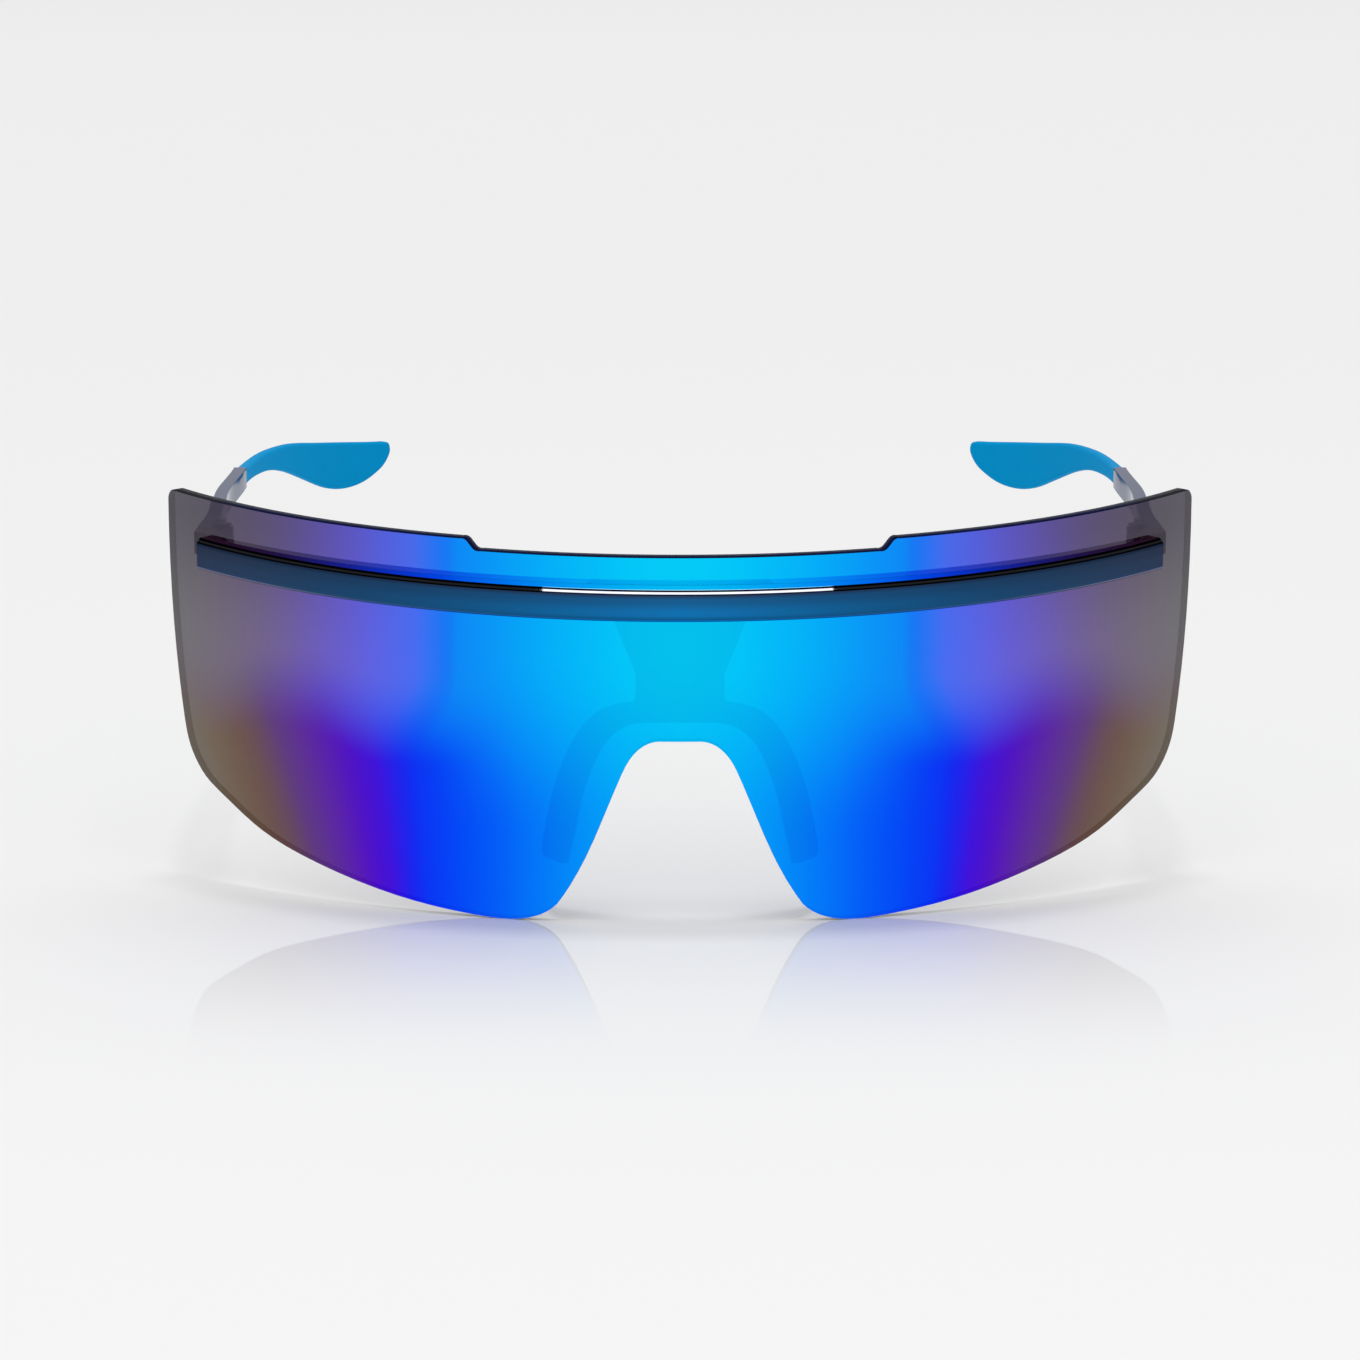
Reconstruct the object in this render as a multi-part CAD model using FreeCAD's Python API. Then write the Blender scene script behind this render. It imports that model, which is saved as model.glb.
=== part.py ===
import FreeCAD, Part
import math
import os
from FreeCAD import Vector

# Shield sunglasses: one bent lens held behind a brow bar, a nose bridge with a soft pad behind its middle,
# and two folding temples on brackets behind its ends. Millimetres, +Z up, the wearer faces -Y, so the
# wearer's left is +X. The front is drawn upright from the middle of the upper edge of the bar's front face,
# then leans forward at the top. The temples are level.

lean = 5.3                      # forward lean of the lens, in degrees
seat_gap = 0.06                 # between pieces that are screwed together
hole_gap = 0.05                 # round a shank in its hole
run_gap = 0.04                  # round the hinge screw, and beside its washers
overrun = 5.0                   # how far a cutter passes the face that it cuts

# Lens, drawn flat and bent round an upright axis behind it
lens_radius = 95.0              # front face
lens_thickness = 1.8
lens_half_arc = 84.8            # half its width, along the front face
lens_height = 54.9              # side part of the top edge down to the lobes
lens_above_face = 6.2           # side part of the top edge above the bar's front face
lens_corner = 1.6
step_place = 28.1               # where the top edge steps up, from the middle
step_run = 3.0
step_rise = 1.6
step_shares = ((0.3, 0.1), (0.7, 0.9))
nose_half_width = 17.4          # nose cut where it meets the lobes
nose_height = 26.85
nose_flat_half = 2.4            # straight top of the nose cut
lobe_share = 0.1
rim_shares = ((1.0, 0.146), (0.992, 0.367), (0.969, 0.606), (0.955, 0.680), (0.936, 0.724), (0.908, 0.763),
              (0.869, 0.794), (0.782, 0.858), (0.649, 0.920), (0.486, 0.972), (0.342, 0.998), (0.277, 0.999),
              (0.238, 0.985))
nose_shares = ((0.810, 0.302), (0.644, 0.542), (0.483, 0.798), (0.396, 0.908), (0.293, 0.974))

# Brow bar, a crescent in front of the lens
bar_face = 3.75                 # height of the front face
bar_bevel = 0.66                # bevel above the front face, up to the bar's top
bar_middle = 3.3                # thickness at the middle
bar_end = 1.8                   # thickness at the ends
bar_inset = 9.2                 # lens beyond the bar's end, along the front face
bar_edge = 0.15                 # chamfer of the lower front edge

# Screws that clamp the brackets and the bridge to the bar through the lens
screw_radius = 0.65
screw_head_radius = 1.1
screw_head_height = 0.6
screw_slot = 0.3
screw_bite = 1.3                # depth of the tapped holes in the bar
sleeve_wall = 0.45              # nylon sleeve round each screw in the lens
bracket_screw_inset = 7.4       # from the hinge's line to the nearer screw, round the lens
bracket_screw_pitch = 6.0
bridge_screw_inset = 4.2        # from the bridge's end

# Hinge brackets and hinges
tab_height = 2.7
tab_thickness = 1.2
tab_land = 2.4                  # tab beyond its last screw
block_land = 0.2                # end block beyond the eyes on the inner side
block_corner = 1.0
block_depth = 7.2               # end block behind the lens, on the hinge's line
hinge_inset = 2.0               # hinge axis from the bar's end, across
hinge_drop = 0.95               # hinge's middle below the level where the bar meets it
eye_radius = 1.4
eye_middle = 1.2                # height of the temple's eye
pin_radius = 0.7
pin_head_radius = 1.2
pin_head_height = 0.5
washer_thickness = 0.2
washer_edge = 0.15              # washer stands in from the eye's rim
swing_gap = 0.3                 # room round the eyes for what swings past
stop_gap = 0.1                  # temple's front face from the end block when open

# Temple arms
arm_length = 60.1
arm_height = 3.2
arm_thickness = 2.0
arm_tail_height = 3.15
arm_tail_thickness = 1.9
arm_rise = 0.8                  # tail's top above the hinge end's top
arm_land = 1.0                  # straight stretch beyond the hinge leaf
arm_bow = 0.85                  # outward bow halfway along
arm_tail_out = 0.15
arm_bow_share = 0.5
tang_height = 1.3
tang_thickness = 0.8
tang_length = 22.0

# Hinge leaf on the arm's inner face
leaf_thickness = 1.1
leaf_height = 2.6
leaf_start = 2.2                # from the hinge axis
leaf_length = 8.0
rivet_radius = 0.55
rivet_head_radius = 0.95
rivet_head_height = 0.35
rivet_bite = 1.3
rivet_shares = (0.3, 0.75)

# Temple tips, plates bent round an upright axis on their inner side and rounded over
tip_radius = 72.0
tip_arc = 55.3
tip_height = 2.85               # at the arm
tip_thickness = 1.7
tip_edge_share = 0.3            # rounding, of the thickness
tip_drop = 8.86                 # paddle's lowest level below the tip's top at the arm
tip_shares = ((0.224, -0.007), (0.324, -0.035), (0.42, -0.042), (0.528, -0.027), (0.655, 0.052),
              (0.804, 0.143), (0.925, 0.2125), (0.965, 0.229), (0.984, 0.24), (0.9945, 0.269),
              (0.999, 0.33), (1.0, 0.403), (0.9905, 0.5405), (0.9725, 0.672), (0.9455, 0.782),
              (0.9075, 0.8905), (0.8625, 0.968), (0.8105, 1.0), (0.756, 0.984), (0.7055, 0.915),
              (0.6455, 0.787), (0.574, 0.631), (0.4955, 0.479), (0.426, 0.387), (0.3465, 0.325),
              (0.251, 0.308), (0.13, 0.314))

# Nose bridge, a bent plate behind the lens with a tongue at its foot
bridge_half_width = 13.7
bridge_above_face = 0.5
bridge_plate_height = 4.0
bridge_thickness = 2.2
bridge_corner = 1.2
neck_half_top = 9.9
tongue_half_width = 4.4
tongue_length = 4.2
tongue_thickness = 1.3

# Nose pad, a soft arch whose legs deepen and splay towards the face
pad_wall = 2.3
pad_top_depth = 4.4
pad_leg_depth = 8.6
pad_splay = 2.9                 # how far a leg's rear edge stands out from its front edge
pad_sag = 2.0                   # how far a leg's rear edge hangs below its front edge
pad_above_cut = 2.0             # underside of the arch above the top of the nose cut
pad_half_width = 15.6           # at the feet, inside
pad_drop = 21.0                 # underside of the arch down to the feet
pad_clear = 0.4                 # behind the lens
# half of the arch in steps: place across, fall, growth towards the legs' depth and splay, wall
pad_shares = ((0.0, 0.0, 0.0, 1.0), (0.2, 0.0, 0.0, 1.0), (0.36, 0.003, 0.02, 1.0), (0.47, 0.026, 0.12, 1.02),
              (0.567, 0.075, 0.28, 1.04), (0.65, 0.145, 0.44, 1.04), (0.72, 0.235, 0.58, 1.0),
              (0.8, 0.38, 0.76, 0.92), (0.865, 0.545, 0.91, 0.85), (0.905, 0.69, 1.0, 0.82),
              (0.945, 0.83, 1.0, 0.82), (0.976, 0.94, 0.98, 0.8), (0.985, 1.0, 0.93, 0.7))
boss_height = 7.2               # above the underside of the arch
boss_wall = 1.8

origin = Vector(0, 0, 0)
up = Vector(0, 0, 1)
across = Vector(1, 0, 0)
back = Vector(0, 1, 0)

lens_inner = lens_radius - lens_thickness
axis_back = bar_middle + seat_gap + lens_radius
screw_level = -bar_face / 2
plate_outer = lens_inner - seat_gap
bar_half_turn = (lens_half_arc - bar_inset) / lens_radius
hinge_across = (lens_radius + seat_gap) * math.sin(bar_half_turn) - hinge_inset
hinge_place = math.asin(hinge_across / plate_outer) * lens_radius
near_screw = hinge_place - bracket_screw_inset
far_screw = near_screw - bracket_screw_pitch
bridge_screw = bridge_half_width - bridge_screw_inset
bracket_screws = [-far_screw, -near_screw, near_screw, far_screw]
bridge_screws = [-bridge_screw, bridge_screw]
hinge_seat = axis_back - math.sqrt(plate_outer ** 2 - hinge_across ** 2)
stop_back = hinge_seat + block_depth
hinge_back = stop_back + swing_gap + eye_radius
hinge_level = hinge_seat * math.sin(math.radians(lean)) - hinge_drop
block_inner = hinge_across - eye_radius - block_land
arm_inner = hinge_across + eye_radius + swing_gap
arm_front = stop_back + stop_gap
arm_back = arm_front + arm_length
leaf_front = hinge_back + leaf_start
land_back = leaf_front + leaf_length + arm_land
arm_top = hinge_level + arm_height / 2
tail_outer = arm_inner + arm_thickness + arm_tail_out
tail_middle = tail_outer - arm_tail_thickness / 2
tail_top = arm_top + arm_rise
tail_level = tail_top - arm_tail_height / 2
tip_axis = Vector(tail_middle - tip_radius, arm_back, 0)
lens_axis = Vector(0, axis_back, 0)
lens_lowest = lens_above_face - lens_height
pad_underside = lens_lowest + nose_height + pad_above_cut
neck_foot = pad_underside + boss_height
boss_half_width = tongue_half_width + boss_wall


def box(low, high):
    size = high - low
    return Part.makeBox(size.x, size.y, size.z, low)


def rod(radius, base, direction, length):
    return Part.makeCylinder(radius, length, base, direction)


def flat_curve(points, radius):
    # one stretch of a flat outline: a line, an arc through three points or a spline, laid round a cylinder
    # whose turn is measured in radians
    flat = [FreeCAD.Base.Vector2d(s, level) for s, level in points]
    if len(flat) == 2:
        ends = [FreeCAD.Base.Vector2d(point.x / radius, point.y) for point in flat]
        return Part.Geom2d.Line2dSegment(*ends)
    if len(flat) == 3:
        curve = Part.Geom2d.ArcOfCircle2d(*flat).toBSpline()
    else:
        curve = Part.Geom2d.BSplineCurve2d()
        curve.interpolate(flat)
    for index, pole in enumerate(curve.getPoles(), 1):
        curve.setPole(index, FreeCAD.Base.Vector2d(pole.x / radius, pole.y))
    return curve


def bent_plate(runs, axis, radius, outer, inner):
    # runs are the flat outline's stretches in order, with their true length at the given radius; the plate
    # bends round an upright axis behind the outline's zero
    skins = []
    rims = []
    for skin_radius in (outer, inner):
        surface = Part.Cylinder()
        surface.Radius = skin_radius
        rim = [flat_curve(run, radius).toShape(surface) for run in runs]
        rims.append(rim)
        skins.append(Part.Face(surface, Part.Wire(rim)))
    sides = [Part.makeRuledSurface(front, rear) for front, rear in zip(rims[0], rims[1])]
    shell = Part.Shell(skins + sides)
    shell.sewShape()
    plate = Part.Solid(shell)
    if plate.Volume < 0:
        plate.reverse()
    plate.rotate(origin, up, -90)
    plate.translate(axis)
    return plate


def mirrored_runs(runs):
    return [[(-s, level) for s, level in reversed(run)] for run in reversed(runs)]


def turned(shape, place):
    # moves a shape drawn at the middle of the front round the lens, to a place along its front face
    moved = shape.copy()
    moved.rotate(lens_axis, up, math.degrees(place / lens_radius))
    return moved


def leaned(shape):
    moved = shape.copy()
    moved.rotate(origin, across, lean)
    return moved


def mirrored(shape):
    return shape.mirror(origin, across)


def at_screws(shape, places):
    return [turned(shape, place) for place in places]


def rounded_corner(corner, before, after, radius):
    # a corner of a flat outline as three points, from the run before it to the run after it
    share = 1 - math.sqrt(0.5)
    start = (corner[0] + before[0] * radius, corner[1] + before[1] * radius)
    end = (corner[0] + after[0] * radius, corner[1] + after[1] * radius)
    middle = (corner[0] + (before[0] + after[0]) * radius * share,
              corner[1] + (before[1] + after[1]) * radius * share)
    return [start, middle, end]


def lens_runs():
    side_top = lens_above_face
    middle_top = side_top - step_rise
    cut_top = lens_lowest + nose_height
    corner = rounded_corner((lens_half_arc, side_top), (-1, 0), (0, -1), lens_corner)
    rim = [corner[-1]]
    rim += [(lens_half_arc * s, side_top - lens_height * depth) for s, depth in rim_shares]
    lobe = (nose_half_width, lens_lowest + nose_height * lobe_share)
    nose = [lobe]
    nose += [(nose_half_width * s, lens_lowest + nose_height * rise) for s, rise in nose_shares]
    nose.append((nose_flat_half, cut_top))
    step = [(step_place + step_run * run, middle_top + step_rise * rise)
            for run, rise in ((0, 0),) + step_shares + ((1, 1),)]
    half = [[(0, middle_top), step[0]],
            step,
            [step[-1], corner[0]],
            corner,
            rim + [lobe],
            nose,
            [(nose_flat_half, cut_top), (0, cut_top)]]
    return half + mirrored_runs(half)


def screw_hole(radius, start, end):
    # a hole across the lens at the middle, between two distances from the lens axis
    return rod(radius, Vector(0, axis_back - start, screw_level), -back, end - start)


def make_lens():
    lens = bent_plate(lens_runs(), lens_axis, lens_radius, lens_radius, lens_inner)
    hole_radius = screw_radius + hole_gap + sleeve_wall + hole_gap
    hole = screw_hole(hole_radius, lens_inner - overrun, lens_radius + overrun)
    return lens.cut(at_screws(hole, bracket_screws + bridge_screws))


def make_sleeves():
    inside = screw_radius + hole_gap
    sleeve = screw_hole(inside + sleeve_wall, lens_inner, lens_radius)
    sleeve = sleeve.cut(screw_hole(inside, lens_inner - overrun, lens_radius + overrun))
    return Part.makeCompound(at_screws(sleeve, bracket_screws + bridge_screws))


def make_bar():
    rear = lens_radius + seat_gap
    ends = []
    for radius in (rear, rear + bar_end):
        end_back = axis_back - radius * math.cos(bar_half_turn)
        ends.append(Vector(radius * math.sin(bar_half_turn), end_back, bar_bevel))
    far = [Vector(-end.x, end.y, end.z) for end in ends]
    front = Part.Arc(far[1], up * bar_bevel, ends[1]).toShape()
    outline = [front,
               Part.LineSegment(ends[1], ends[0]).toShape(),
               Part.Arc(ends[0], Vector(0, axis_back - rear, bar_bevel), far[0]).toShape(),
               Part.LineSegment(far[0], far[1]).toShape()]
    bar = Part.Face(Part.Wire(outline)).extrude(Vector(0, 0, -bar_bevel - bar_face))
    for level, size in ((bar_bevel, bar_bevel), (-bar_face, bar_edge)):
        middle = Vector(0, front.CenterOfMass.y, level)
        corner = [edge for edge in bar.Edges if edge.CenterOfMass.isEqual(middle, seat_gap)]
        bar = bar.makeChamfer(size, corner)
    hole = screw_hole(screw_radius + hole_gap, rear - overrun, rear + screw_bite)
    return bar.cut(at_screws(hole, bracket_screws + bridge_screws))


def make_screw(grip):
    # from its head, which bears on a plate of that thickness behind the lens, to its end in the bar
    head_seat = math.sqrt((plate_outer - grip) ** 2 - screw_head_radius ** 2)
    shank = screw_hole(screw_radius, head_seat, lens_radius + seat_gap + screw_bite - hole_gap)
    head = screw_hole(screw_head_radius, head_seat - screw_head_height, head_seat)
    slot_face = axis_back - head_seat + screw_head_height
    slot = box(Vector(-screw_head_radius - overrun, slot_face - screw_slot, screw_level - screw_slot / 2),
               Vector(screw_head_radius + overrun, slot_face + overrun, screw_level + screw_slot / 2))
    return shank.fuse(head).removeSplitter().cut(slot)


def hinge_rod(radius, low, high):
    # an upright rod on the hinge's line, between levels from the hinge's middle
    return rod(radius, Vector(hinge_across, hinge_back, hinge_level + low), up, high - low)


def eye_levels():
    # bottom and top of the bracket's upper eye, from the hinge's middle
    low = eye_middle / 2 + run_gap + washer_thickness + run_gap
    return low, arm_height / 2


def make_bracket():
    tab_inner = plate_outer - tab_thickness
    start = far_screw - tab_land
    end = hinge_place
    low = screw_level - tab_height / 2
    high = screw_level + tab_height / 2
    corners = ((start, low), (end, low), (end, high), (start, high))
    runs = [[corners[index - 1], corners[index]] for index in range(len(corners))]
    tab = leaned(bent_plate(runs, lens_axis, lens_radius, plate_outer, tab_inner))
    outer = arm_inner + arm_thickness
    block = box(Vector(block_inner, hinge_seat - block_depth, hinge_level - arm_height / 2),
                Vector(outer, stop_back, hinge_level + arm_height / 2))
    inner_edges = [edge for edge in block.Edges if edge.BoundBox.XMax < hinge_across - eye_radius
                   and edge.BoundBox.YLength > block_depth]
    block = block.makeFillet(block_corner, inner_edges)
    room = leaned(rod(plate_outer, Vector(0, axis_back, -lens_height), up, 2 * lens_height))
    bracket = block.common(room).fuse(tab)
    low, high = eye_levels()
    for bottom, top in ((low, high), (-high, -low)):
        web = box(Vector(hinge_across - eye_radius, stop_back - eye_radius, hinge_level + bottom),
                  Vector(hinge_across + eye_radius, hinge_back, hinge_level + top))
        bracket = bracket.fuse([web, hinge_rod(eye_radius, bottom, top)])
    bracket = bracket.removeSplitter()
    hole = screw_hole(screw_radius + hole_gap, tab_inner - overrun, plate_outer + overrun)
    holes = [leaned(drill) for drill in at_screws(hole, (near_screw, far_screw))]
    return bracket.cut(holes + [hinge_rod(pin_radius + hole_gap, -arm_height, arm_height)])


def make_pin():
    top = arm_height / 2
    pin = hinge_rod(pin_radius, -top, top).fuse(hinge_rod(pin_head_radius, top, top + pin_head_height))
    head_top = hinge_level + top + pin_head_height
    reach = pin_head_radius + overrun
    slot = box(Vector(hinge_across - screw_slot / 2, hinge_back - reach, head_top - screw_slot),
               Vector(hinge_across + screw_slot / 2, hinge_back + reach, head_top + overrun))
    return pin.removeSplitter().cut(slot)


def make_washers():
    low = eye_middle / 2 + run_gap
    rings = []
    for bottom in (low, -low - washer_thickness):
        ring = hinge_rod(eye_radius - washer_edge, bottom, bottom + washer_thickness)
        rings.append(ring.cut(hinge_rod(pin_radius + run_gap, -arm_height, arm_height)))
    return Part.makeCompound(rings)


def side_curve(front, middle, tail):
    curve = Part.BSplineCurve()
    curve.interpolate(Points=[front, middle, tail], InitialTangent=back, FinalTangent=back)
    return curve.toShape()


def rivet_places():
    return [leaf_front + leaf_length * share for share in rivet_shares]


def tang(height, thickness, length):
    # a strip that follows the tip's bend from the arm's tail
    middle = Vector(tail_middle, arm_back, tail_level)
    wide = across * thickness / 2
    tall = up * height / 2
    corners = [middle - wide - tall, middle + wide - tall, middle + wide + tall, middle - wide + tall]
    section = Part.Face(Part.makePolygon(corners + corners[:1]))
    return section.revolve(tip_axis, up, math.degrees(length / tip_radius))


def make_arm():
    outer = arm_inner + arm_thickness
    bow_back = land_back + (arm_back - land_back) * arm_bow_share
    bow_outer = outer + arm_bow
    bow_inner = bow_outer - (arm_thickness + arm_tail_thickness) / 2
    tail_inner = tail_outer - arm_tail_thickness
    low = Vector(0, 0, arm_top - arm_height)
    front_outer = Vector(outer, arm_front, 0) + low
    land_outer = Vector(outer, land_back, 0) + low
    end_outer = Vector(tail_outer, arm_back, 0) + low
    end_inner = Vector(tail_inner, arm_back, 0) + low
    land_inner = Vector(arm_inner, land_back, 0) + low
    front_inner = Vector(arm_inner, arm_front, 0) + low
    outline = [Part.LineSegment(front_inner, front_outer).toShape(),
               Part.LineSegment(front_outer, land_outer).toShape(),
               side_curve(land_outer, Vector(bow_outer, bow_back, 0) + low, end_outer),
               Part.LineSegment(end_outer, end_inner).toShape(),
               side_curve(land_inner, Vector(bow_inner, bow_back, 0) + low, end_inner),
               Part.LineSegment(land_inner, front_inner).toShape()]
    band = Part.Face(Part.Wire(Part.sortEdges(outline)[0])).extrude(Vector(0, 0, arm_height + arm_rise))
    side = [Vector(0, arm_front, arm_top), Vector(0, land_back, arm_top), Vector(0, arm_back, tail_top),
            Vector(0, arm_back, tail_top - arm_tail_height), Vector(0, land_back, arm_top - arm_height),
            Vector(0, arm_front, arm_top - arm_height)]
    profile = Part.Face(Part.makePolygon(side + side[:1])).extrude(Vector(2 * tail_outer, 0, 0))
    arm = band.common(profile).fuse(tang(tang_height, tang_thickness, tang_length)).removeSplitter()
    holes = [rod(rivet_radius + hole_gap, Vector(arm_inner - overrun, place, hinge_level), across,
                 overrun + rivet_bite) for place in rivet_places()]
    return arm.cut(holes)


def make_leaf():
    plate = box(Vector(arm_inner - leaf_thickness, leaf_front, hinge_level - leaf_height / 2),
                Vector(arm_inner, leaf_front + leaf_length, hinge_level + leaf_height / 2))
    neck = box(Vector(hinge_across, hinge_back, hinge_level - eye_middle / 2),
               Vector(hinge_across + eye_radius, leaf_front + leaf_thickness, hinge_level + eye_middle / 2))
    leaf = plate.fuse([neck, hinge_rod(eye_radius, -eye_middle / 2, eye_middle / 2)]).removeSplitter()
    holes = [rod(rivet_radius + hole_gap, Vector(arm_inner - overrun, place, hinge_level), across,
                 2 * overrun) for place in rivet_places()]
    return leaf.cut(holes + [hinge_rod(pin_radius + run_gap, -arm_height, arm_height)])


def make_rivets():
    rivets = []
    head_seat = arm_inner - leaf_thickness
    for place in rivet_places():
        seat = Vector(head_seat, place, hinge_level)
        shank = rod(rivet_radius, seat, across, leaf_thickness + rivet_bite - hole_gap)
        head = rod(rivet_head_radius, seat, -across, rivet_head_height)
        rivets.append(shank.fuse(head).removeSplitter())
    return Part.makeCompound(rivets)


def make_tip():
    top = tail_level + tip_height / 2
    root = [(seat_gap, top - tip_height), (seat_gap, top)]
    rim = [root[1]] + [(tip_arc * along, top - tip_drop * fall) for along, fall in tip_shares] + [root[0]]
    outer = tip_radius + tip_thickness / 2
    tip = bent_plate([root, rim], tip_axis, tip_radius, outer, outer - tip_thickness)
    tip.rotate(tip_axis, up, 90)
    rims = [edge for edge in tip.Edges if edge.Length > tip_arc]
    tip = tip.makeFillet(tip_thickness * tip_edge_share, rims)
    return tip.cut(tang(tang_height + 2 * hole_gap, tang_thickness + 2 * hole_gap, tang_length + seat_gap))


def make_bridge():
    high = bridge_above_face
    low = high - bridge_plate_height
    outer_corner = rounded_corner((bridge_half_width, high), (-1, 0), (0, -1), bridge_corner)
    lower_corner = rounded_corner((bridge_half_width, low), (0, 1), (-1, 0), bridge_corner)
    half = [[(0, high), outer_corner[0]], outer_corner, [outer_corner[-1], lower_corner[0]], lower_corner,
            [lower_corner[-1], (neck_half_top, low)], [(neck_half_top, low), (boss_half_width, neck_foot)],
            [(boss_half_width, neck_foot), (0, neck_foot)]]
    inner = plate_outer - bridge_thickness
    plate = bent_plate(half + mirrored_runs(half), lens_axis, lens_radius, plate_outer, inner)
    bridge = plate.fuse(tongue(0)).removeSplitter()
    hole = screw_hole(screw_radius + hole_gap, lens_inner - bridge_thickness - overrun, lens_radius)
    return bridge.cut(at_screws(hole, bridge_screws))


def tongue(gap):
    half = tongue_half_width + gap
    low = neck_foot - tongue_length - gap
    inner = plate_outer - bridge_thickness - gap
    corners = ((half, neck_foot), (half, low), (-half, low), (-half, neck_foot))
    runs = [[corners[index - 1], corners[index]] for index in range(len(corners))]
    return bent_plate(runs, lens_axis, lens_radius, inner + tongue_thickness + 2 * gap, inner)


def arch_places():
    # the underside of the arch from its middle down to a foot: place and the way out from the nose
    spots = [Vector(pad_half_width * along, 0, pad_underside - pad_drop * fall)
             for along, fall, _, _ in pad_shares]
    before = [Vector(-spots[1].x, 0, spots[1].z)] + spots[:-1]
    after = spots[1:] + spots[-1:]
    ways = []
    for start, end in zip(before, after):
        run = (end - start).normalize()
        ways.append(Vector(-run.z, 0, run.x))
    return list(zip(spots, ways))


def make_pad():
    room = plate_outer - pad_clear
    sections = []
    for (place, way), (_, fall, growth, wall_share) in zip(arch_places(), pad_shares):
        wall = way * pad_wall * wall_share
        start = place + back * (axis_back - math.sqrt(room ** 2 - (place.x + wall.x) ** 2))
        depth = back * (pad_top_depth + (pad_leg_depth - pad_top_depth) * growth)
        rear = depth + way * pad_splay * growth - up * pad_sag * growth * fall
        corners = [start, start + wall, start + wall + rear, start + rear]
        sections.append(Part.makePolygon(corners + corners[:1]))
    half = Part.makeLoft(sections, True, False)
    front = axis_back - room
    boss = box(Vector(-boss_half_width, front, pad_underside + pad_wall / 2),
               Vector(boss_half_width, front + bridge_thickness + boss_wall, neck_foot - seat_gap))
    behind_lens = rod(room, lens_axis - up * lens_height, up, 2 * lens_height)
    pad = half.fuse([mirrored(half), boss.common(behind_lens)]).removeSplitter()
    return pad.cut(tongue(hole_gap))


front_pieces = {
    "shield_lens": make_lens(),
    "lens_sleeves": make_sleeves(),
    "brow_bar": make_bar(),
    "bracket_screws": Part.makeCompound(at_screws(make_screw(tab_thickness), bracket_screws)),
    "nose_bridge": make_bridge(),
    "bridge_screws": Part.makeCompound(at_screws(make_screw(bridge_thickness), bridge_screws)),
    "nose_pad": make_pad(),
}
side_pieces = {
    "hinge_bracket": make_bracket(),
    "hinge_screw": make_pin(),
    "hinge_washers": make_washers(),
    "temple_arm": make_arm(),
    "temple_leaf": make_leaf(),
    "leaf_rivets": make_rivets(),
    "temple_tip": make_tip(),
}

pieces = {name: leaned(shape) for name, shape in front_pieces.items()}
for name, shape in side_pieces.items():
    pieces[name + "_left"] = shape
    pieces[name + "_right"] = mirrored(shape)

# The origin goes under the middle of the whole part, at the level of the lens's lobes
whole = Part.makeCompound(list(pieces.values())).optimalBoundingBox()
shift = Vector(0, -(whole.YMin + whole.YMax) / 2, -whole.ZMin)
os.makedirs("parts", exist_ok=True)
for name, shape in pieces.items():
    shape.translate(shift)
    shape.exportStep("parts/" + name + ".step")
    print(name, len(shape.Solids), "solids", round(shape.Volume, 2), "valid", shape.isValid())
hinge = Vector(hinge_across, hinge_back, hinge_level) + shift
print("size", [round(v, 3) for v in (whole.XLength, whole.YLength, whole.ZLength)])
print("left hinge", [round(v, 4) for v in hinge], "front middle", [round(v, 4) for v in shift])
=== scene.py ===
import math
import bmesh
import bpy
from mathutils import Matrix, Vector


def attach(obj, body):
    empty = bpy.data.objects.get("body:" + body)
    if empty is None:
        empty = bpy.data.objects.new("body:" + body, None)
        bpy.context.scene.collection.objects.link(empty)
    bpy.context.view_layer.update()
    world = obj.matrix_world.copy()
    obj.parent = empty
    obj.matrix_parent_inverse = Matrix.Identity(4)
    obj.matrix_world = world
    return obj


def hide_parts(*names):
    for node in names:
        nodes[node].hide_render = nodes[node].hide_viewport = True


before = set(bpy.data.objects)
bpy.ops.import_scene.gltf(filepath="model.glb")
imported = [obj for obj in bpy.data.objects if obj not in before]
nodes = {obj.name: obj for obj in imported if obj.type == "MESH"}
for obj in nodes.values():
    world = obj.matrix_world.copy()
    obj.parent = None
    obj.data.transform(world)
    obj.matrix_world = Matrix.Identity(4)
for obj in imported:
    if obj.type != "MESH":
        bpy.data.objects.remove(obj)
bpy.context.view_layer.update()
scene = bpy.context.scene
print("frame loaded:", len(nodes), "nodes")

# the front leans about the middle of the upper edge of the bar's front face
front = {
    "place": (0.0, -0.0751785, 0.0479195),
    "lean": 5.3,                 # degrees
}
frontFrame = Matrix.Translation(front["place"]) @ Matrix.Rotation(math.radians(front["lean"]), 4, "X")
frontBack = frontFrame.inverted()

# camera at the picture's angle, for a square picture
shot = {
    "place": (0.0, -0.7664545, 0.1580935),
    "pitch": 10.0,               # degrees below level
    "lens": 134.9,               # mm
    "sensor": 36.0,              # mm
    "reach": 50.0,               # m
}


def placeCamera():
    data = bpy.data.cameras.new("pictureCamera")
    data.sensor_width = shot["sensor"]
    data.lens = shot["lens"]
    data.clip_end = shot["reach"]
    camera = bpy.data.objects.new("pictureCamera", data)
    camera.location = shot["place"]
    camera.rotation_euler = (math.radians(90.0 - shot["pitch"]), 0.0, 0.0)
    scene.collection.objects.link(camera)
    scene.camera = camera


placeCamera()
print("camera placed")


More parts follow.
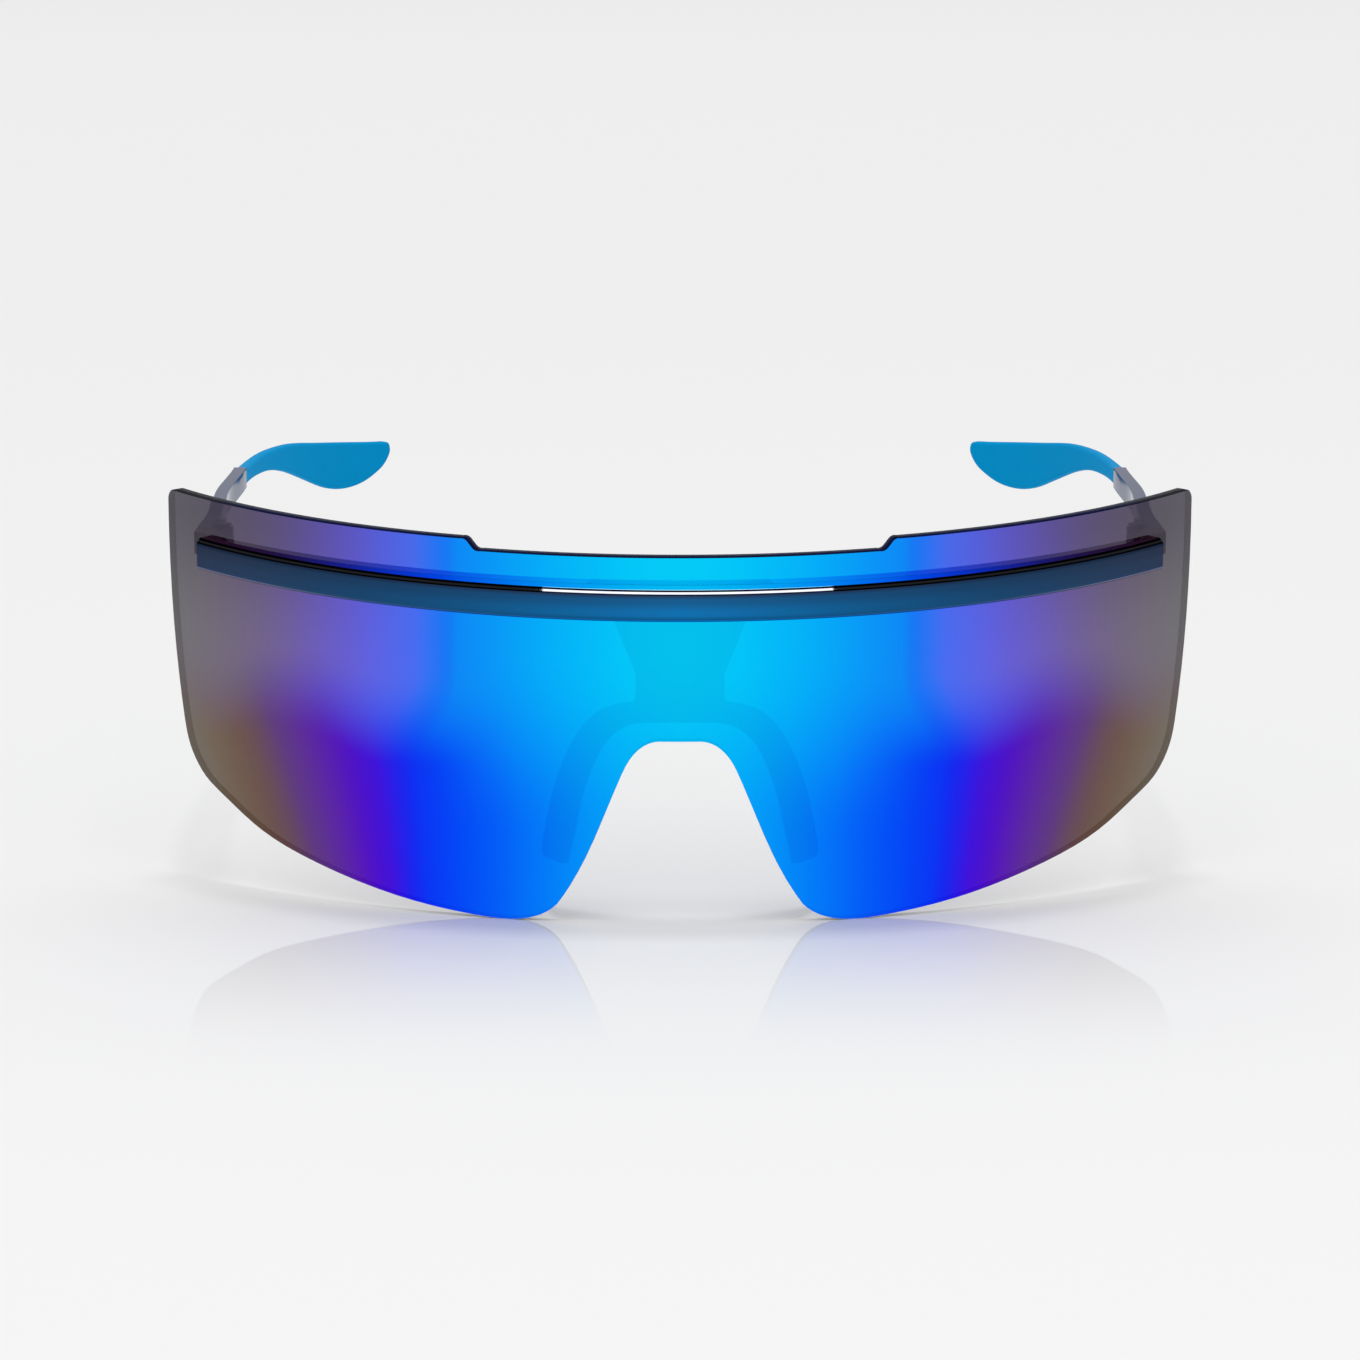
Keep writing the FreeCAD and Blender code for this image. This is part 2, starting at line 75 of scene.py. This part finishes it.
# a Wire is an output socket that takes part in Python sums
class Wire:
    def __init__(self, finish, socket):
        self.finish = finish
        self.socket = socket

    def maths(self, operation, left, right=0.0):
        return self.finish.add("Math", {"operation": operation}, {0: left, 1: right})

    def __add__(self, other):
        return self.maths("ADD", self, other)

    def __radd__(self, other):
        return self.maths("ADD", other, self)

    def __sub__(self, other):
        return self.maths("SUBTRACT", self, other)

    def __rsub__(self, other):
        return self.maths("SUBTRACT", other, self)

    def __mul__(self, other):
        return self.maths("MULTIPLY", self, other)

    def __rmul__(self, other):
        return self.maths("MULTIPLY", other, self)

    def __truediv__(self, other):
        return self.maths("DIVIDE", self, other)

    def __rtruediv__(self, other):
        return self.maths("DIVIDE", other, self)

    def __abs__(self):
        return self.maths("ABSOLUTE", self)


# a Finish fills one material's or the world's node tree
class Finish:
    def __init__(self, tree):
        self.tree = tree
        tree.nodes.clear()

    def add(self, kind, settings=None, inputs=None, out=0):
        node = self.tree.nodes.new("ShaderNode" + kind)
        for name, value in (settings or {}).items():
            if name == "stops":
                self.setStops(node.color_ramp, value)
            else:
                setattr(node, name, value)
        for name, value in (inputs or {}).items():
            self.plug(node.inputs[name], value)
        return Wire(self, node.outputs[out]) if node.outputs else None

    def plug(self, socket, value):
        if isinstance(value, Wire):
            self.tree.links.new(value.socket, socket)
        else:
            socket.default_value = value

    def setStops(self, ramp, stops):
        ramp.interpolation = "B_SPLINE"
        while len(ramp.elements) < len(stops):
            ramp.elements.new(1.0)
        for element, (place, colour) in zip(ramp.elements, stops):
            element.position = place
            element.color = colour

    def coords(self):
        return self.add("TexCoord", out="Object")

    def frontCoords(self):
        # places in the leaned front: across, behind the bar's front face, and above that face's upper edge
        return self.add("Mapping", {"vector_type": "TEXTURE"},
                        {"Vector": self.coords(), "Location": front["place"],
                         "Rotation": (math.radians(front["lean"]), 0.0, 0.0)})

    def axes(self, vector):
        return [self.add("SeparateXYZ", inputs={0: vector}, out=axis) for axis in "XYZ"]

    def ease(self, value, start, end, low=0.0, high=1.0):
        return self.add("MapRange", {"interpolation_type": "SMOOTHSTEP"},
                        {"Value": value, "From Min": start, "From Max": end, "To Min": low, "To Max": high})

    def ramp(self, value, stops):
        return self.add("ValToRGB", {"stops": stops}, {0: value})

    def mixed(self, share, first, second):
        return self.add("Mix", {"data_type": "RGBA"}, {0: share, 6: first, 7: second}, out=2)

    def noise(self, vector, scale, detail=2.0):
        return self.add("TexNoise", inputs={"Vector": vector, "Scale": scale, "Detail": detail})

    def brushed(self, vector, grain):
        # lines that run along the axis with the lowest grain
        stretched = self.add("Mapping", inputs={"Vector": vector, "Scale": grain})
        return self.noise(stretched, 1.0, detail=3.0)

    def bump(self, height, distance, strength=1.0, rounding=0.0):
        inputs = {"Height": height, "Distance": distance, "Strength": strength}
        if rounding:
            inputs["Normal"] = self.add("Bevel", {"samples": 4}, {"Radius": rounding})
        return self.add("Bump", inputs=inputs)

    def shader(self, inputs):
        return self.add("BsdfPrincipled", inputs=inputs)

    def surface(self, shader):
        self.add("OutputMaterial", inputs={"Surface": shader})

    def blended(self, share, first, second):
        return self.add("MixShader", inputs={0: share, 1: first, 2: second})


def newFinish(name):
    material = bpy.data.materials.new(name)
    material.use_nodes = True
    return material, Finish(material.node_tree)


def tint(red, green, blue):
    # a colour as a picture editor shows it, as the shader wants it
    def linear(level):
        share = level / 255.0
        return share / 12.92 if share <= 0.04045 else ((share + 0.055) / 1.055) ** 2.4
    return (linear(red), linear(green), linear(blue), 1.0)


def grey(level):
    return (level, level, level, 1.0)


# mirror coat on the front of the lens: its colour runs from the middle to the ends, one run for the upper
# part and one for the lower part; the runs are partly the coat's own tint and partly a painted reflection of
# the studio's lights and table
mirrorCoat = {
    "halfWidth": 0.074,
    "upper": [(0.0, tint(0, 208, 255)), (0.16, tint(0, 200, 255)), (0.42, tint(0, 122, 255)),
              (0.46, tint(22, 117, 255)), (0.50, tint(68, 110, 255)), (0.62, tint(102, 90, 236)),
              (0.76, tint(114, 92, 158)), (0.90, tint(116, 106, 118)), (1.0, tint(110, 110, 116))],
    "lower": [(0.0, tint(0, 182, 255)), (0.16, tint(0, 150, 255)), (0.30, tint(0, 100, 255)),
              (0.40, tint(0, 73, 255)), (0.50, tint(0, 42, 255)), (0.54, tint(14, 24, 248)),
              (0.58, tint(50, 4, 236)), (0.67, tint(86, 0, 186)), (0.77, tint(88, 44, 120)),
              (0.82, tint(100, 66, 68)), (0.87, tint(106, 76, 58)), (0.93, tint(112, 93, 72)),
              (1.0, tint(112, 110, 98))],
    "sweep": 4.4,                # the lower run draws in towards the lobes, from this height down
    "sweepFrom": 0.022,
    "sweepStart": (0.38, 0.75),
    "spread": 0.07,              # the upper run draws out between these heights
    "spreadFall": (0.0363, 0.0223),
    "spreadStart": (0.35, 0.5),
    "middleFall": (0.039, 0.012),  # heights between which the upper run gives way to the lower one
    "sideFall": (0.035, 0.021),
    "sideStart": (0.28, 0.5),
    "sideLift": 0.0035,          # this much higher up between two places
    "liftIn": (0.55, 0.72),
    "liftOut": (0.92, 0.78),
    "paintedShade": tint(50, 46, 70),    # painted shade, towards the top of the ends
    "paintedShadeRise": (0.036, 0.056),
    "paintedShadeOut": (0.4, 0.9),
    "paintedShadeShare": 0.6,
    "mirror": [(0.0, grey(0.82)), (0.45, grey(0.92)), (0.72, grey(0.64)), (0.88, grey(0.38)),
               (1.0, grey(0.28))],
    "roughness": 0.06,
    "ior": 1.2,
}


def makeMirrorCoat():
    material, finish = newFinish("mirrorCoat")
    across, _, height = finish.axes(finish.coords())
    out = abs(across) / mirrorCoat["halfWidth"]
    middleFall = finish.ease(height, *mirrorCoat["middleFall"])
    lift = finish.ease(out, *mirrorCoat["liftIn"]) * finish.ease(out, *mirrorCoat["liftOut"])
    sideFall = finish.ease(height - mirrorCoat["sideLift"] * lift, *mirrorCoat["sideFall"])
    fall = middleFall + finish.ease(out, *mirrorCoat["sideStart"]) * (sideFall - middleFall)
    spread = finish.ease(height, *mirrorCoat["spreadFall"]) * finish.ease(out, *mirrorCoat["spreadStart"])
    # the runs hold painted reflection as well as the coat's own tint
    upper = finish.ramp(out - mirrorCoat["spread"] * spread, mirrorCoat["upper"])
    sweep = mirrorCoat["sweep"] * finish.ease(out, *mirrorCoat["sweepStart"])
    lower = finish.ramp(out + sweep * (mirrorCoat["sweepFrom"] - height), mirrorCoat["lower"])
    coat = finish.mixed(fall, upper, lower)
    # painted shade: the coat darkens towards the top of its ends
    paintedShade = finish.ease(height, *mirrorCoat["paintedShadeRise"]) * finish.ease(out, *mirrorCoat["paintedShadeOut"])
    finish.surface(finish.shader({
        "Base Color": finish.mixed(mirrorCoat["paintedShadeShare"] * paintedShade, coat, mirrorCoat["paintedShade"]),
        "Metallic": finish.ramp(out, mirrorCoat["mirror"]),
        "Roughness": mirrorCoat["roughness"],
        "IOR": mirrorCoat["ior"],
        "Transmission Weight": 1.0,
    }))
    return material


# tinted back of the lens, deeper towards its top and its ends
lensSmoke = {
    "top": (0.125, 0.117, 0.122, 1.0),
    "foot": (0.19, 0.18, 0.185, 1.0),
    "heights": (0.0, 0.055),
    "middle": (0.34, 0.33, 0.335, 1.0),
    "fade": (0.016, 0.04),
    "roughness": 0.03,
}


def makeLensSmoke():
    material, finish = newFinish("lensSmoke")
    across, _, height = finish.axes(finish.coords())
    ends = finish.mixed(finish.ease(height, *lensSmoke["heights"]), lensSmoke["foot"], lensSmoke["top"])
    finish.surface(finish.shader({
        "Base Color": finish.mixed(finish.ease(abs(across), *lensSmoke["fade"]), lensSmoke["middle"], ends),
        "Roughness": lensSmoke["roughness"],
        "IOR": mirrorCoat["ior"],
        "Transmission Weight": 1.0,
        "Coat Weight": 1.0,
        "Coat Roughness": lensSmoke["roughness"],
    }))
    return material


# ground edge of the lens: dark from outside, and from inside a dim glow of the light that it takes in
lensEdge = {
    "light": tint(12, 22, 66),
    "dark": tint(8, 14, 48),
    "ends": tint(38, 38, 44),
    "endsFrom": (0.058, 0.07),
    "inside": (0.25, 0.23, 0.22, 1.0),
    "grain": 900.0,
    "roughness": 0.35,
    "roughnessSpread": 0.1,
    "gloss": 0.02,
}


def makeLensEdge():
    material, finish = newFinish("lensEdge")
    coords = finish.coords()
    streak = finish.noise(coords, lensEdge["grain"])
    middle = finish.mixed(streak, lensEdge["dark"], lensEdge["light"])
    ends = finish.ease(abs(finish.axes(coords)[0]), *lensEdge["endsFrom"])
    ground = finish.shader({
        "Base Color": finish.mixed(ends, middle, lensEdge["ends"]),
        "Roughness": lensEdge["roughness"] + lensEdge["roughnessSpread"] * streak,
        "Specular IOR Level": lensEdge["gloss"],
    })
    glow = finish.add("BsdfTranslucent", inputs={"Color": lensEdge["inside"]})
    inside = finish.add("NewGeometry", out="Backfacing")
    finish.surface(finish.blended(inside, ground, glow))
    return material


# bar: satin blue front, with painted shade along its top, painted reflection in its lighter middle and lower
# part and a painted highlight along its lower edge; a polished bevel above it, with painted shade along both
# its edges; and a polished top whose colour is a painted reflection of the lens; each run goes from the
# middle to the ends, and each fall is a pair of heights from the front face's upper edge
barMetal = {
    "halfWidth": 0.07,
    # painted shade: a darker strip along the top of the front face
    "paintedCrestShade": [(0.0, tint(42, 66, 98)), (0.5, tint(27, 46, 78)), (1.0, tint(24, 38, 54))],
    # the bar's blue with painted reflection: lighter and bluer towards the middle and lower down, darker
    # again at the foot
    "upper": [(0.0, tint(26, 96, 148)), (0.35, tint(24, 74, 118)), (0.7, tint(28, 56, 88)),
              (1.0, tint(45, 55, 72))],
    "lower": [(0.0, tint(20, 116, 182)), (0.35, tint(18, 86, 136)), (0.7, tint(28, 61, 96)),
              (1.0, tint(49, 61, 82))],
    "foot": [(0.0, tint(12, 88, 140)), (0.5, tint(18, 76, 120)), (1.0, tint(48, 58, 86))],
    # painted highlight: a pale line along the lower edge of the front face
    "lip": [(0.0, tint(0, 112, 184)), (0.6, tint(40, 60, 104)), (0.85, tint(112, 118, 140)),
            (1.0, tint(118, 122, 144))],
    "upperFall": (0.0, -0.0007),
    "lowerFall": (-0.0008, -0.0024),
    "footFall": (-0.0028, -0.0035),
    "lipFall": (-0.00345, -0.0035),
    "bevel": (0.42, 0.43, 0.48, 1.0),
    "rims": (0.002, 0.003, 0.01, 1.0),    # painted shade, darker along both edges of the bevel
    "lowRim": (0.00014, 0.00019),
    "highRim": (0.00043, 0.00038),
    # painted reflection of the lens's colours on the bar's top face
    "top": [(0.0, (0.6, 1.0, 1.0, 1.0)), (0.24, (0.2, 0.8, 1.0, 1.0)), (0.46, (0.03, 0.2, 0.85, 1.0)),
            (0.72, (0.1, 0.0, 0.5, 1.0)), (0.93, (0.2, 0.1, 0.13, 1.0)), (1.0, (0.16, 0.09, 0.12, 1.0))],
    "paintedReflectionFrom": (0.00063, 0.000655),
    "glance": (0.32, 0.8, 0.97, 1.0),     # tint where it is seen almost along the surface
    "endGlance": (0.5, 0.37, 0.45, 1.0),
    "endsFrom": (0.45, 0.95),
    "polish": (-0.00003, 0.00002),
    "polishedRoughness": 0.03,
    "satinRoughness": 0.08,               # on top of the polished one
    "satinSpread": 0.08,
    "grain": (60.0, 60.0, 9000.0),
    "lineDepth": 0.000002,
}


def makeBarMetal():
    material, finish = newFinish("barMetal")
    place = finish.frontCoords()
    across, _, height = finish.axes(place)
    out = abs(across) / barMetal["halfWidth"]
    lines = finish.brushed(place, barMetal["grain"])
    satinAndPaintedLight = finish.ramp(out, barMetal["paintedCrestShade"])
    for run in ("upper", "lower", "foot", "lip"):
        fall = finish.ease(height, *barMetal[run + "Fall"])
        satinAndPaintedLight = finish.mixed(fall, satinAndPaintedLight, finish.ramp(out, barMetal[run]))
    # painted shade lines along both edges of the bevel
    facet = finish.ease(height, *barMetal["lowRim"]) * finish.ease(height, *barMetal["highRim"])
    bevel = finish.mixed(facet, barMetal["rims"], barMetal["bevel"])
    # the top face's colour is a painted reflection of the lens
    top = finish.ramp(out, barMetal["top"])
    bevelAndPaintedReflection = finish.mixed(finish.ease(height, *barMetal["paintedReflectionFrom"]), bevel, top)
    polish = finish.ease(height, *barMetal["polish"])
    rough = barMetal["satinRoughness"] + barMetal["satinSpread"] * lines
    metal = {
        "Base Color": finish.mixed(polish, satinAndPaintedLight, bevelAndPaintedReflection),
        "Metallic": 1.0,
        "Roughness": barMetal["polishedRoughness"] + (1.0 - polish) * rough,
        "Normal": finish.bump(lines * (1.0 - polish), barMetal["lineDepth"]),
    }
    middle = finish.shader({**metal, "Specular Tint": barMetal["glance"]})
    ends = finish.shader({**metal, "Specular Tint": barMetal["endGlance"]})
    finish.surface(finish.blended(finish.ease(out, *barMetal["endsFrom"]), middle, ends))
    return material


# brushed metals
steel = {
    "cloud": 120.0,
    "glance": (0.44, 0.46, 0.54, 1.0),
    "roughnessSpread": 0.12,
    "lineDepth": 0.000003,
    "rounding": 0.00012,         # of the edges, as shading
}
steels = {
    "armSteel": {"light": tint(98, 100, 116), "dark": tint(88, 90, 106), "roughness": 0.0,
                 "grain": (3500.0, 40.0, 3500.0)},
    "bracketMetal": {"light": tint(178, 142, 120), "dark": tint(156, 122, 102), "roughness": 0.22,
                     "grain": (3000.0, 3000.0, 3000.0)},
    "fastenerSteel": {"light": tint(186, 188, 194), "dark": tint(158, 160, 168), "roughness": 0.2,
                      "grain": (4000.0, 4000.0, 900.0)},
}


def makeSteel(name, look):
    material, finish = newFinish(name)
    coords = finish.coords()
    lines = finish.brushed(coords, look["grain"])
    finish.surface(finish.shader({
        "Base Color": finish.mixed(finish.noise(coords, steel["cloud"]), look["dark"], look["light"]),
        "Metallic": 1.0,
        "Specular Tint": steel["glance"],
        "Roughness": look["roughness"] + steel["roughnessSpread"] * lines,
        "Normal": finish.bump(lines, steel["lineDepth"], rounding=steel["rounding"]),
    }))
    return material


# plastics and rubbers, with a fine moulded grain
rubber = {
    "cloud": 70.0,
    "grain": 5200.0,
    "grainDetail": 3.0,
    "grainMiddle": 0.5,
    "grainDepth": 0.00002,
    "grainStrength": 0.5,
    "roughnessSpread": 0.12,
    "ior": 1.45,
    "gloss": 0.02,
}
rubbers = {
    "nylon": {"light": tint(226, 226, 220), "dark": tint(214, 214, 208), "roughness": 0.45},
    "bridgePlastic": {"light": tint(0, 140, 222), "dark": tint(0, 132, 212), "roughness": 0.4},
    "padRubber": {"light": tint(0, 82, 176), "dark": tint(0, 76, 166), "roughness": 0.62},
    "tipRubber": {"light": tint(0, 152, 214), "dark": tint(0, 145, 204), "roughness": 0.55},
}


def makeRubber(name, look):
    material, finish = newFinish(name)
    coords = finish.coords()
    grain = finish.noise(coords, rubber["grain"], rubber["grainDetail"])
    finish.surface(finish.shader({
        "Base Color": finish.mixed(finish.noise(coords, rubber["cloud"]), look["dark"], look["light"]),
        "Roughness": look["roughness"] + rubber["roughnessSpread"] * (grain - rubber["grainMiddle"]),
        "IOR": rubber["ior"],
        "Specular IOR Level": rubber["gloss"],
        "Normal": finish.bump(grain, rubber["grainDepth"], rubber["grainStrength"]),
    }))
    return material


finishes = {
    "mirrorCoat": makeMirrorCoat(),
    "lensSmoke": makeLensSmoke(),
    "lensEdge": makeLensEdge(),
    "barMetal": makeBarMetal(),
}
for finishName, finishLook in steels.items():
    finishes[finishName] = makeSteel(finishName, finishLook)
for finishName, finishLook in rubbers.items():
    finishes[finishName] = makeRubber(finishName, finishLook)

# the lens and the nose pad get theirs as they are made
nodeFinishes = {
    "lens_sleeves": "nylon",
    "brow_bar": "barMetal",
    "bracket_screws": "fastenerSteel",
    "nose_bridge": "bridgePlastic",
    "bridge_screws": "fastenerSteel",
    "hinge_bracket": "bracketMetal",
    "hinge_screw": "fastenerSteel",
    "hinge_washers": "nylon",
    "temple_arm": "armSteel",
    "temple_leaf": "armSteel",
    "leaf_rivets": "fastenerSteel",
    "temple_tip": "tipRubber",
}


def dressNodes():
    for name, node in nodes.items():
        kind = name.removesuffix("_left").removesuffix("_right")
        if kind in nodeFinishes:
            for place in node.material_slots:
                place.material = finishes[nodeFinishes[kind]]


dressNodes()
print("finishes made:", len(finishes))


def newPiece(name, bm, materials):
    mesh = bpy.data.meshes.new(name)
    bm.to_mesh(mesh)
    bm.free()
    for material in materials:
        mesh.materials.append(finishes[material])
    piece = bpy.data.objects.new(name, mesh)
    scene.collection.objects.link(piece)
    return piece


def everything(bm):
    return bm.verts[:] + bm.edges[:] + bm.faces[:]


# lens: the front skin of the CAD lens is laid flat, gets a polished edge and a back, is cut into upright
# strips and bent again, so that its mirror is smooth
shield = {
    "radius": 0.095,             # front face
    "axisBack": 0.09836,         # bend's axis behind the bar's front
    "thickness": 0.0018,
    "polish": 0.00012,
    "rings": 2,                  # the inner one keeps the skin's shading flat up to the polished edge
    "strips": 120,
    "screwHoleSides": 100,
    "weld": 0.000001,
    "flatness": 0.00001,
    "skins": ("mirrorCoat", "lensSmoke", "lensEdge"),
    "faceOn": 0.99,              # how squarely a face looks forward or back
    "sideways": 0.5,
    "upward": 0.3,
}


def unbend(point):
    local = frontBack @ point
    depth = shield["axisBack"] - local.y
    turn = math.atan2(local.x, depth)
    return Vector((turn * shield["radius"], shield["radius"] - math.hypot(local.x, depth), local.z))


def bend(point):
    turn = point.x / shield["radius"]
    reach = shield["radius"] - point.y
    return frontFrame @ Vector((reach * math.sin(turn), shield["axisBack"] - reach * math.cos(turn), point.z))


def layFlat(bm):
    bm.from_mesh(nodes["shield_lens"].data)
    bmesh.ops.remove_doubles(bm, verts=bm.verts, dist=shield["weld"])
    for vert in bm.verts:
        vert.co = unbend(vert.co)
    behind = [face for face in bm.faces if max(vert.co.y for vert in face.verts) > shield["flatness"]]
    bmesh.ops.delete(bm, geom=behind, context="FACES")
    rims = [edge for edge in bm.edges if edge.is_boundary]
    bmesh.ops.holes_fill(bm, edges=rims, sides=shield["screwHoleSides"])
    return bmesh.ops.dissolve_faces(bm, faces=bm.faces[:])["region"][0]


def closePlate(bm, skin):
    polish = shield["polish"]
    for _ in range(shield["rings"]):
        bmesh.ops.inset_region(bm, faces=[skin], thickness=polish, use_boundary=True, use_even_offset=True)
    rim = [vert for vert in bm.verts if vert.is_boundary]
    bmesh.ops.translate(bm, verts=rim, vec=(0.0, polish, 0.0))
    frontRim = [edge for edge in bm.edges if edge.is_boundary]
    copied = bmesh.ops.duplicate(bm, geom=everything(bm))["geom"]
    for vert in copied:
        if isinstance(vert, bmesh.types.BMVert):
            vert.co.y = shield["thickness"] - vert.co.y
    walls = bmesh.ops.extrude_edge_only(bm, edges=frontRim)["geom"]
    wallVerts = [vert for vert in walls if isinstance(vert, bmesh.types.BMVert)]
    bmesh.ops.translate(bm, verts=wallVerts, vec=(0.0, shield["thickness"] - 2.0 * polish, 0.0))
    bmesh.ops.remove_doubles(bm, verts=bm.verts, dist=shield["weld"])
    bmesh.ops.recalc_face_normals(bm, faces=bm.faces)


def cutStrips(bm):
    halfArc = max(vert.co.x for vert in bm.verts)
    for index in range(1, shield["strips"]):
        place = halfArc * (2.0 * index / shield["strips"] - 1.0)
        bmesh.ops.bisect_plane(bm, geom=everything(bm), dist=shield["weld"], plane_co=(place, 0.0, 0.0),
                               plane_no=(1.0, 0.0, 0.0))


def lensSkin(normal):
    if normal.y > shield["faceOn"]:
        return "lensSmoke"
    if normal.y < -shield["faceOn"]:
        return "mirrorCoat"
    # the coat runs over the polished front edge, apart from the top one
    ground = normal.z > shield["upward"] or normal.y > -shield["sideways"]
    return "lensEdge" if ground else "mirrorCoat"


def makeLens():
    bm = bmesh.new()
    skin = layFlat(bm)
    closePlate(bm, skin)
    cutStrips(bm)
    for face in bm.faces:
        face.material_index = shield["skins"].index(lensSkin(face.normal))
        face.smooth = True
    for vert in bm.verts:
        vert.co = bend(vert.co)
    openEdges = sum(1 for edge in bm.edges if not edge.is_manifold)
    piece = newPiece("shieldLens", bm, shield["skins"])
    print("lens made:", len(piece.data.polygons), "faces,", openEdges, "open edges")
    return piece


lens = makeLens()
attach(lens, "front")
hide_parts("shield_lens")

# nose pad: the CAD arch rounded over, as moulded silicone is
nosePad = {
    "voxel": 0.0002,
    "passes": 36,
    "pull": 0.5,
    "weld": 0.000001,
}


def makeNosePad():
    bm = bmesh.new()
    bm.from_mesh(nodes["nose_pad"].data)
    bmesh.ops.remove_doubles(bm, verts=bm.verts, dist=nosePad["weld"])
    piece = newPiece("nosePad", bm, ("padRubber",))
    remesh = piece.modifiers.new("voxels", "REMESH")
    remesh.mode = "VOXEL"
    remesh.voxel_size = nosePad["voxel"]
    bm = bmesh.new()
    bm.from_object(piece, bpy.context.evaluated_depsgraph_get())
    piece.modifiers.remove(remesh)
    for _ in range(nosePad["passes"]):
        bmesh.ops.smooth_vert(bm, verts=bm.verts, factor=nosePad["pull"], use_axis_x=True, use_axis_y=True,
                              use_axis_z=True)
    for face in bm.faces:
        face.smooth = True
    bm.to_mesh(piece.data)
    bm.free()
    print("nose pad made:", len(piece.data.polygons), "faces")
    return piece


pad = makeNosePad()
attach(pad, "front")
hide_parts("nose_pad")

# floor and world
stage = {
    "floorSize": 14.0,
    "floorColour": grey(0.9),
    "paintedFarShade": grey(0.86),    # painted shade, far from the object
    "paintedFarShadeFrom": (1.4, 4.0),
    "gloss": 0.5,                # faint mirror image in front of the lens
    "glossRoughness": 0.03,
    "glossFront": (-0.150, -0.070),
    "glossBack": (0.0, -0.05),
    "glossSides": (0.2, 0.1),
    "glossSlant": (0.45, 0.75),  # only seen along the floor
    "fill": 0.8,                 # world's light on the object
    "backdrop": 0.88,            # sky as the camera sees it
    "white": 1.0,                # floor and low sky as metal and the mirror coat see them
    "ceiling": 0.03,             # sky overhead, as they see it
    "ceilingRise": (0.34, 0.58),
}
# a strip in front, which draws the white line on the bar's bevel, and a small softbox overhead
lamps = {
    "strip": {"place": (0.012, -0.284, 0.71), "aim": front["place"], "size": (0.45, 0.1), "power": 0.36},
    "softbox": {"place": (0.0, -0.05, 1.2), "aim": (0.0, -0.05, 0.0), "size": (0.18, 0.18), "power": 2.2},
}


def makePaleFloor():
    material, finish = newFinish("paleFloor")
    coords = finish.coords()
    distance = finish.add("VectorMath", {"operation": "LENGTH"}, {0: coords}, out="Value")
    across, depth, _ = finish.axes(coords)
    slant = finish.add("LayerWeight", out="Facing")
    gloss = finish.ease(depth, *stage["glossFront"]) * finish.ease(depth, *stage["glossBack"])
    gloss = gloss * finish.ease(abs(across), *stage["glossSides"]) * finish.ease(slant, *stage["glossSlant"])
    # a glow that grows as the softbox's light falls off, so that the floor stays even
    softbox = lamps["softbox"]
    reach = softbox["place"][2] ** 2
    near = reach / (distance * distance + reach)
    level = stage["floorColour"][0] * softbox["power"] / (math.pi ** 2 * reach)
    # painted shade: the floor darkens far from the object
    far = finish.ease(distance, *stage["paintedFarShadeFrom"])
    paper = finish.shader({
        "Base Color": finish.mixed(far, stage["floorColour"], stage["paintedFarShade"]),
        "Roughness": 1.0,
        "Specular IOR Level": 0.0,
        "Coat Weight": stage["gloss"] * gloss,
        "Coat Roughness": stage["glossRoughness"],
        "Emission Color": level * (1.0 - near * near),
        "Emission Strength": 1.0,
    })
    white = finish.add("Emission", inputs={"Color": grey(1.0), "Strength": stage["white"]})
    mirrored = finish.add("LightPath", out="Is Glossy Ray")
    finish.surface(finish.blended(mirrored, paper, white))
    return material


def makeFloor():
    bm = bmesh.new()
    bmesh.ops.create_grid(bm, x_segments=1, y_segments=1, size=stage["floorSize"])
    finishes["paleFloor"] = makePaleFloor()
    newPiece("floor", bm, ("paleFloor",))


def makeWorld():
    world = bpy.data.worlds.new("paleWorld")
    world.use_nodes = True
    finish = Finish(world.node_tree)
    height = finish.axes(finish.add("TexCoord", out="Generated"))[2]
    camera, glossy, through = [finish.add("LightPath", out="Is %s Ray" % ray)
                               for ray in ("Camera", "Glossy", "Transmission")]
    shown = camera.maths("MAXIMUM", camera, through)
    sky = finish.ease(height, *stage["ceilingRise"], stage["white"], stage["ceiling"])
    level = stage["fill"] + shown * (stage["backdrop"] - stage["fill"])
    level = level + glossy * (1.0 - through) * (sky - stage["fill"])
    background = finish.add("Background", inputs={"Color": grey(1.0), "Strength": level})
    finish.add("OutputWorld", inputs={"Surface": background})
    scene.world = world


def makeLamps():
    for name, lamp in lamps.items():
        data = bpy.data.lights.new(name, "AREA")
        data.shape = "RECTANGLE"
        data.size, data.size_y = lamp["size"]
        data.energy = lamp["power"]
        piece = bpy.data.objects.new(name, data)
        piece.location = lamp["place"]
        way = Vector(lamp["place"]) - Vector(lamp["aim"])
        piece.rotation_euler = way.to_track_quat("Z", "Y").to_euler()
        scene.collection.objects.link(piece)


makeFloor()
makeWorld()
makeLamps()
scene.view_settings.view_transform = "Standard"
print("stage made")
